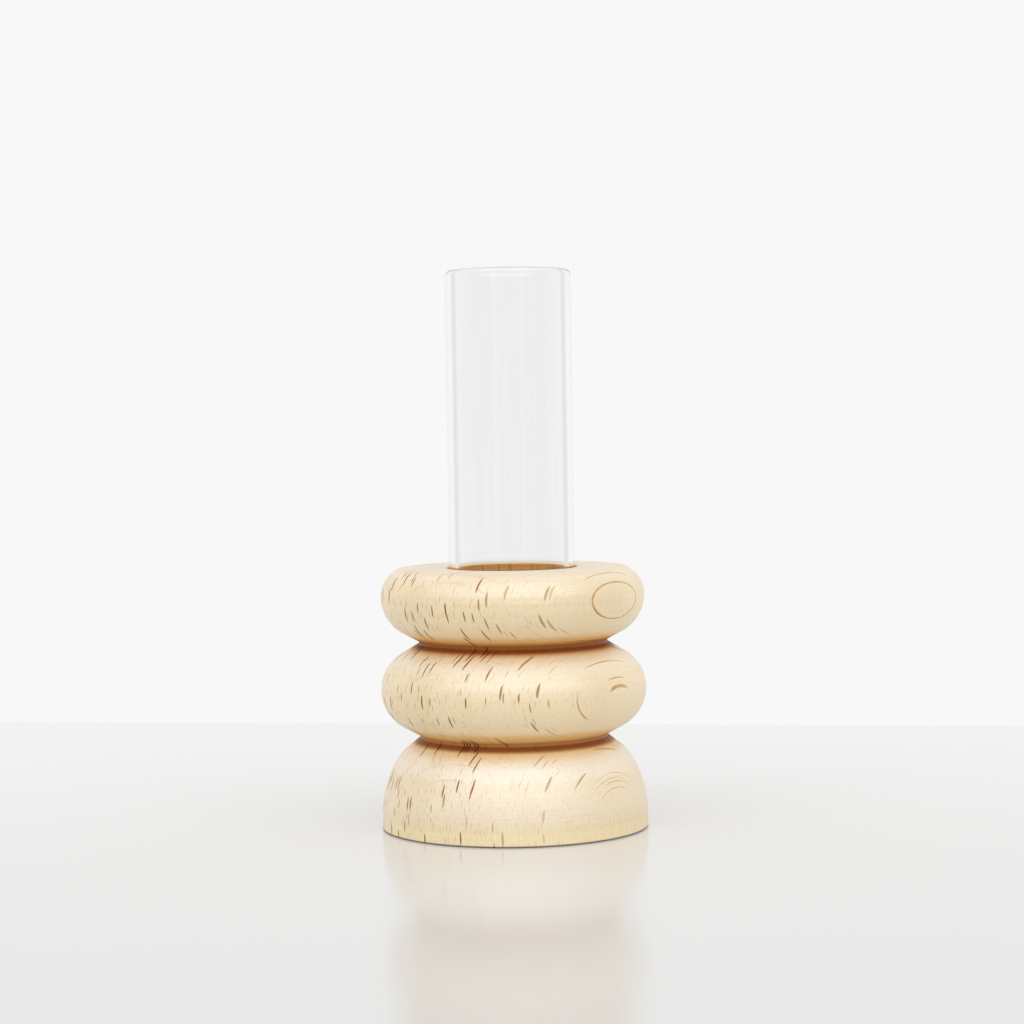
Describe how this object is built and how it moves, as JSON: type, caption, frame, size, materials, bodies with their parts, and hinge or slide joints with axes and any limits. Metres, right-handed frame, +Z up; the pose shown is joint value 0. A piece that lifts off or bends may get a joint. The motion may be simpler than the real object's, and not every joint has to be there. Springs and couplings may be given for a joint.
{
  "type": "test tube vase",
  "caption": "Turned wooden bud vase: a beaded, domed holder with a deep bore and a lift-out clear glass test tube with a rounded lip.",
  "frame": {"origin": "centre of the holder's underside, on the surface that it stands on", "axes": "+Z up along the turning axis, -Y towards the viewer, +X to the viewer's right"},
  "size_m": [0.0636, 0.0636, 0.1326],
  "materials": {
    "beech": "satin",
    "clear_glass": "polished"
  },
  "bodies": {
    "holder": {"turned_holder": "beech"},
    "tube": {"glass_tube": "clear_glass"}
  },
  "joints": [
    {"name": "tube_lift", "type": "slide", "parent": "holder", "child": "tube", "axis": [0, 0, 1], "range_m": [0, 0.055]}
  ]
}
